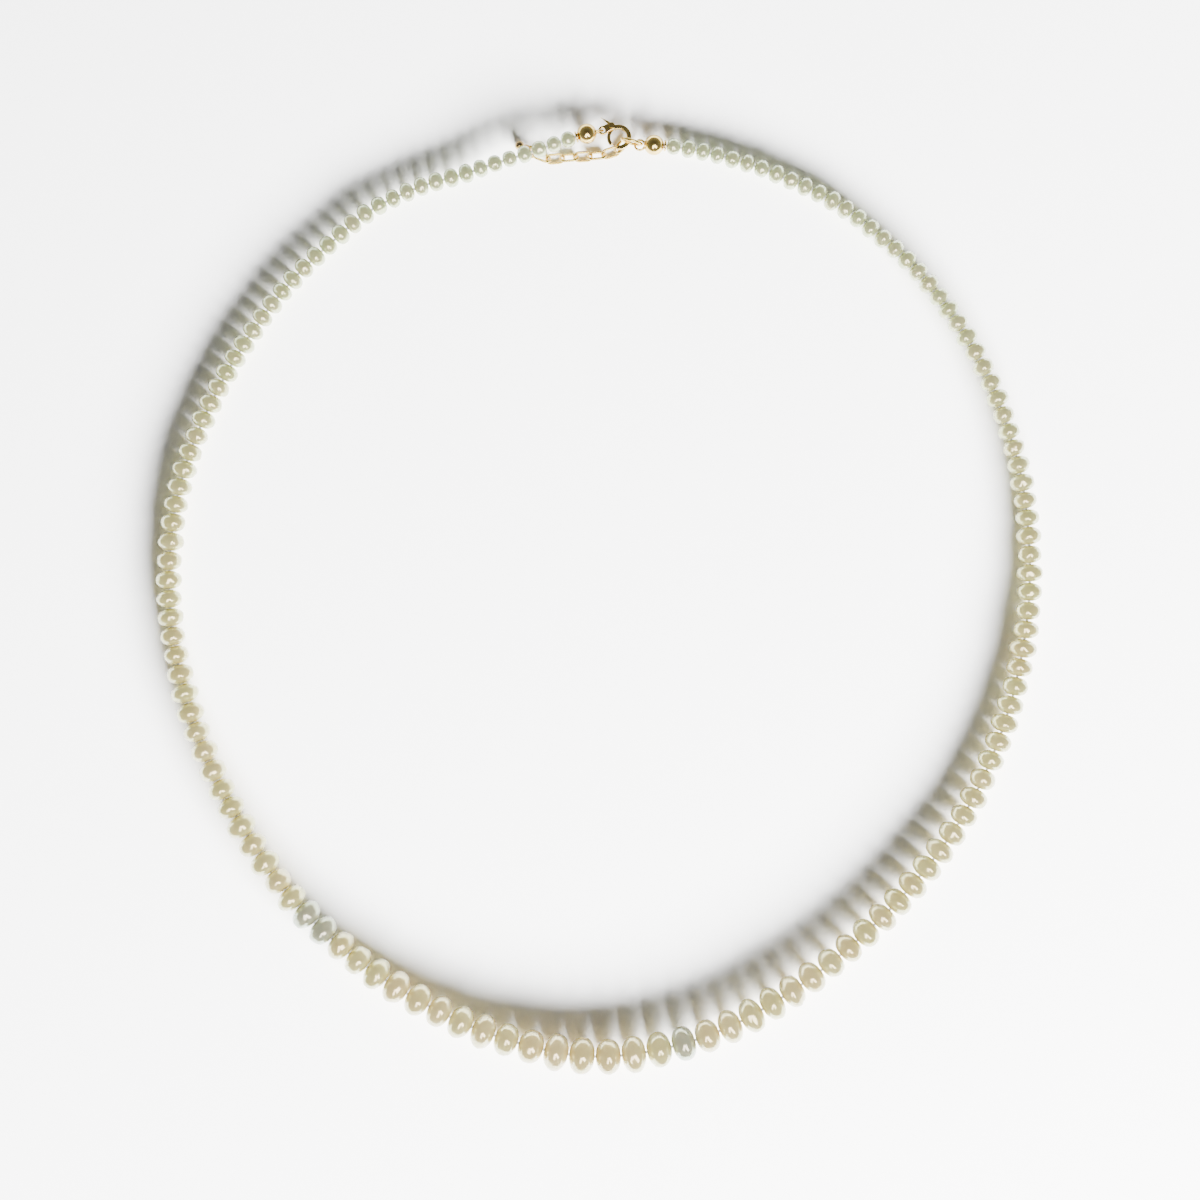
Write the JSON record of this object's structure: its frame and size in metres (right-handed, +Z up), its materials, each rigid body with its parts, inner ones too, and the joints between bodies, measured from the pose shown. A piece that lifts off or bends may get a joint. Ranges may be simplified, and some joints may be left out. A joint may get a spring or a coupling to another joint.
{
  "type": "pearl necklace",
  "caption": "Graduated strand of drilled button pearls on a thread, closed by a gold lobster clasp with a short extender chain, lying as a loop",
  "frame": {"origin": "middle of the loop's bounding box, at the height of the table it lies on", "axes": "+Z up off the table, +Y from the front of the necklace towards the clasp, +X to the right seen from above with the clasp away from the viewer"},
  "size_m": [0.1414, 0.1525, 0.0061],
  "materials": {
    "pearl": "gloss",
    "thread": "matte",
    "gold": "polished"
  },
  "bodies": {
    "front": {"pearls_front": "pearl", "thread": "thread"},
    "left_01": {"pearls_left_01": "pearl"},
    "left_02": {"pearls_left_02": "pearl"},
    "left_03": {"pearls_left_03": "pearl"},
    "left_04": {"pearls_left_04": "pearl"},
    "left_05": {"pearls_left_05": "pearl"},
    "left_06": {"pearls_left_06": "pearl"},
    "left_07": {"pearls_left_07": "pearl"},
    "left_08": {"pearls_left_08": "pearl"},
    "left_09": {"pearls_left_09": "pearl"},
    "left_10": {"pearls_left_10": "pearl"},
    "left_11": {"pearls_left_11": "pearl"},
    "left_12": {"pearls_left_12": "pearl"},
    "left_tip": {"left_bead_tip": "gold", "left_bead_tip_lid": "gold", "left_crimp": "gold", "left_collar": "gold"},
    "right_01": {"pearls_right_01": "pearl"},
    "right_02": {"pearls_right_02": "pearl"},
    "right_03": {"pearls_right_03": "pearl"},
    "right_04": {"pearls_right_04": "pearl"},
    "right_05": {"pearls_right_05": "pearl"},
    "right_06": {"pearls_right_06": "pearl"},
    "right_07": {"pearls_right_07": "pearl"},
    "right_08": {"pearls_right_08": "pearl"},
    "right_09": {"pearls_right_09": "pearl"},
    "right_10": {"pearls_right_10": "pearl"},
    "right_11": {"pearls_right_11": "pearl"},
    "right_12": {"pearls_right_12": "pearl"},
    "right_tip": {"right_bead_tip": "gold", "right_bead_tip_lid": "gold", "right_crimp": "gold", "right_collar": "gold"},
    "clasp": {"clasp_body": "gold", "clasp_pivot_pin": "gold", "clasp_spring": "gold"},
    "lever": {"clasp_lever": "gold"},
    "catch": {"catch_ring": "gold"},
    "link_1": {"extender_link_1": "gold"},
    "link_2": {"extender_link_2": "gold"},
    "link_3": {"extender_link_3": "gold"},
    "link_4": {"extender_link_4": "gold"},
    "link_5": {"extender_link_5": "gold"},
    "link_6": {"extender_link_6": "gold"},
    "link_7": {"extender_link_7": "gold"},
    "ring": {"end_ring": "gold"},
    "drop": {"end_drop": "gold"}
  },
  "joints": [
    {"name": "left_bend_01", "type": "hinge", "parent": "front", "child": "left_01", "pos_m": [-0.01303, -0.07043, 0.00304], "axis": [0, 0, 1], "range_deg": [0, 14], "deforming": ["thread"]},
    {"name": "left_bend_02", "type": "hinge", "parent": "left_01", "child": "left_02", "pos_m": [-0.02726, -0.06452, 0.00291], "axis": [0, 0, 1], "range_deg": [0, 14]},
    {"name": "left_bend_03", "type": "hinge", "parent": "left_02", "child": "left_03", "pos_m": [-0.03991, -0.05616, 0.00279], "axis": [0, 0, 1], "range_deg": [0, 14]},
    {"name": "left_bend_04", "type": "hinge", "parent": "left_03", "child": "left_04", "pos_m": [-0.05226, -0.04334, 0.00264], "axis": [0, 0, 1], "range_deg": [0, 14]},
    {"name": "left_bend_05", "type": "hinge", "parent": "left_04", "child": "left_05", "pos_m": [-0.06092, -0.02871, 0.00251], "axis": [0, 0, 1], "range_deg": [0, 14]},
    {"name": "left_bend_06", "type": "hinge", "parent": "left_05", "child": "left_06", "pos_m": [-0.0665, -0.01333, 0.00238], "axis": [0, 0, 1], "range_deg": [0, 14]},
    {"name": "left_bend_07", "type": "hinge", "parent": "left_06", "child": "left_07", "pos_m": [-0.06862, 0.00473, 0.00223], "axis": [0, 0, 1], "range_deg": [0, 18]},
    {"name": "left_bend_08", "type": "hinge", "parent": "left_07", "child": "left_08", "pos_m": [-0.06577, 0.02219, 0.00209], "axis": [0, 0, 1], "range_deg": [0, 18]},
    {"name": "left_bend_09", "type": "hinge", "parent": "left_08", "child": "left_09", "pos_m": [-0.05879, 0.03739, 0.00196], "axis": [0, 0, 1], "range_deg": [0, 18]},
    {"name": "left_bend_10", "type": "hinge", "parent": "left_09", "child": "left_10", "pos_m": [-0.04808, 0.052, 0.00184], "axis": [0, 0, 1], "range_deg": [0, 18]},
    {"name": "left_bend_11", "type": "hinge", "parent": "left_10", "child": "left_11", "pos_m": [-0.03635, 0.06223, 0.00175], "axis": [0, 0, 1], "range_deg": [0, 18]},
    {"name": "left_bend_12", "type": "hinge", "parent": "left_11", "child": "left_12", "pos_m": [-0.02013, 0.06832, 0.00231], "axis": [0, 0, 1], "range_deg": [0, 18]},
    {"name": "left_tip_bend", "type": "hinge", "parent": "left_12", "child": "left_tip", "pos_m": [-0.00393, 0.07371, 0.00223], "axis": [0, 0, 1], "range_deg": [0, 18]},
    {"name": "right_bend_01", "type": "hinge", "parent": "front", "child": "right_01", "pos_m": [0.00739, -0.07189, 0.00309], "axis": [0, 0, -1], "range_deg": [0, 14]},
    {"name": "right_bend_02", "type": "hinge", "parent": "right_01", "child": "right_02", "pos_m": [0.02244, -0.06698, 0.00295], "axis": [0, 0, -1], "range_deg": [0, 14]},
    {"name": "right_bend_03", "type": "hinge", "parent": "right_02", "child": "right_03", "pos_m": [0.03525, -0.05886, 0.00283], "axis": [0, 0, -1], "range_deg": [0, 14]},
    {"name": "right_bend_04", "type": "hinge", "parent": "right_03", "child": "right_04", "pos_m": [0.04854, -0.04666, 0.00269], "axis": [0, 0, -1], "range_deg": [0, 14]},
    {"name": "right_bend_05", "type": "hinge", "parent": "right_04", "child": "right_05", "pos_m": [0.05868, -0.03288, 0.00254], "axis": [0, 0, -1], "range_deg": [0, 14]},
    {"name": "right_bend_06", "type": "hinge", "parent": "right_05", "child": "right_06", "pos_m": [0.06573, -0.01524, 0.00239], "axis": [0, 0, -1], "range_deg": [0, 14]},
    {"name": "right_bend_07", "type": "hinge", "parent": "right_06", "child": "right_07", "pos_m": [0.06831, -0.00024, 0.00227], "axis": [0, 0, -1], "range_deg": [0, 18]},
    {"name": "right_bend_08", "type": "hinge", "parent": "right_07", "child": "right_08", "pos_m": [0.06753, 0.01726, 0.00213], "axis": [0, 0, -1], "range_deg": [0, 18]},
    {"name": "right_bend_09", "type": "hinge", "parent": "right_08", "child": "right_09", "pos_m": [0.06281, 0.03345, 0.002], "axis": [0, 0, -1], "range_deg": [0, 18]},
    {"name": "right_bend_10", "type": "hinge", "parent": "right_09", "child": "right_10", "pos_m": [0.05482, 0.04734, 0.00189], "axis": [0, 0, -1], "range_deg": [0, 18]},
    {"name": "right_bend_11", "type": "hinge", "parent": "right_10", "child": "right_11", "pos_m": [0.04213, 0.06008, 0.00178], "axis": [0, 0, -1], "range_deg": [0, 18]},
    {"name": "right_bend_12", "type": "hinge", "parent": "right_11", "child": "right_12", "pos_m": [0.02697, 0.06838, 0.00166], "axis": [0, 0, -1], "range_deg": [0, 18]},
    {"name": "right_tip_bend", "type": "hinge", "parent": "right_12", "child": "right_tip", "pos_m": [0.01051, 0.07243, 0.00183], "axis": [0, 0, -1], "range_deg": [0, 18]},
    {"name": "clasp_swing", "type": "hinge", "parent": "left_tip", "child": "clasp", "pos_m": [0.00044, 0.07477, 0.0021], "axis": [0, 0, 1], "range_deg": [-6, 6]},
    {"name": "lever_press", "type": "hinge", "parent": "clasp", "child": "lever", "pos_m": [0.00179, 0.07548, 0.0021], "axis": [0, 0, 1], "range_deg": [0, 16], "stiffness_Nm_per_rad": 0.0002},
    {"name": "catch_ring_swing", "type": "hinge", "parent": "right_tip", "child": "catch", "pos_m": [0.0066, 0.0726, 0.0021], "axis": [0, 0, 1], "range_deg": [-3, 6]},
    {"name": "link_1_swing", "type": "hinge", "parent": "catch", "child": "link_1", "pos_m": [0.00428, 0.07349, 0.00082], "axis": [0, 0, 1], "range_deg": [-2, 7]},
    {"name": "link_2_swing", "type": "hinge", "parent": "link_1", "child": "link_2", "pos_m": [0.00278, 0.07181, 0.00082], "axis": [0, 0, 1], "range_deg": [-2, 7]},
    {"name": "link_3_swing", "type": "hinge", "parent": "link_2", "child": "link_3", "pos_m": [0.00063, 0.07115, 0.00082], "axis": [0, 0, 1], "range_deg": [-2, 7]},
    {"name": "link_4_swing", "type": "hinge", "parent": "link_3", "child": "link_4", "pos_m": [-0.0016, 0.0709, 0.00082], "axis": [0, 0, 1], "range_deg": [-2, 7]},
    {"name": "link_5_swing", "type": "hinge", "parent": "link_4", "child": "link_5", "pos_m": [-0.00385, 0.0708, 0.00082], "axis": [0, 0, 1], "range_deg": [-2, 7]},
    {"name": "link_6_swing", "type": "hinge", "parent": "link_5", "child": "link_6", "pos_m": [-0.00605, 0.0706, 0.00082], "axis": [0, 0, 1], "range_deg": [-2, 7]},
    {"name": "link_7_swing", "type": "hinge", "parent": "link_6", "child": "link_7", "pos_m": [-0.00825, 0.0704, 0.00082], "axis": [0, 0, 1], "range_deg": [-2, 7]},
    {"name": "end_ring_swing", "type": "hinge", "parent": "link_7", "child": "ring", "pos_m": [-0.0103, 0.0712, 0.00082], "axis": [0, 0, 1], "range_deg": [-4, 6]},
    {"name": "end_drop_swing", "type": "hinge", "parent": "ring", "child": "drop", "pos_m": [-0.01157, 0.07215, 0.00082], "axis": [0, 0, 1], "range_deg": [-6, 6]}
  ],
  "couplings": [
    {"joint": "left_bend_02", "follows": "left_bend_01", "ratio": 1},
    {"joint": "left_bend_03", "follows": "left_bend_01", "ratio": 1},
    {"joint": "left_bend_04", "follows": "left_bend_01", "ratio": 1},
    {"joint": "left_bend_05", "follows": "left_bend_01", "ratio": 1},
    {"joint": "left_bend_06", "follows": "left_bend_01", "ratio": 1},
    {"joint": "left_bend_08", "follows": "left_bend_07", "ratio": 1},
    {"joint": "left_bend_09", "follows": "left_bend_07", "ratio": 1},
    {"joint": "left_bend_10", "follows": "left_bend_07", "ratio": 1},
    {"joint": "left_bend_11", "follows": "left_bend_07", "ratio": 1},
    {"joint": "left_bend_12", "follows": "left_bend_07", "ratio": 1},
    {"joint": "left_tip_bend", "follows": "left_bend_07", "ratio": 1},
    {"joint": "right_bend_02", "follows": "right_bend_01", "ratio": 1},
    {"joint": "right_bend_03", "follows": "right_bend_01", "ratio": 1},
    {"joint": "right_bend_04", "follows": "right_bend_01", "ratio": 1},
    {"joint": "right_bend_05", "follows": "right_bend_01", "ratio": 1},
    {"joint": "right_bend_06", "follows": "right_bend_01", "ratio": 1},
    {"joint": "right_bend_08", "follows": "right_bend_07", "ratio": 1},
    {"joint": "right_bend_09", "follows": "right_bend_07", "ratio": 1},
    {"joint": "right_bend_10", "follows": "right_bend_07", "ratio": 1},
    {"joint": "right_bend_11", "follows": "right_bend_07", "ratio": 1},
    {"joint": "right_bend_12", "follows": "right_bend_07", "ratio": 1},
    {"joint": "right_tip_bend", "follows": "right_bend_07", "ratio": 1}
  ]
}
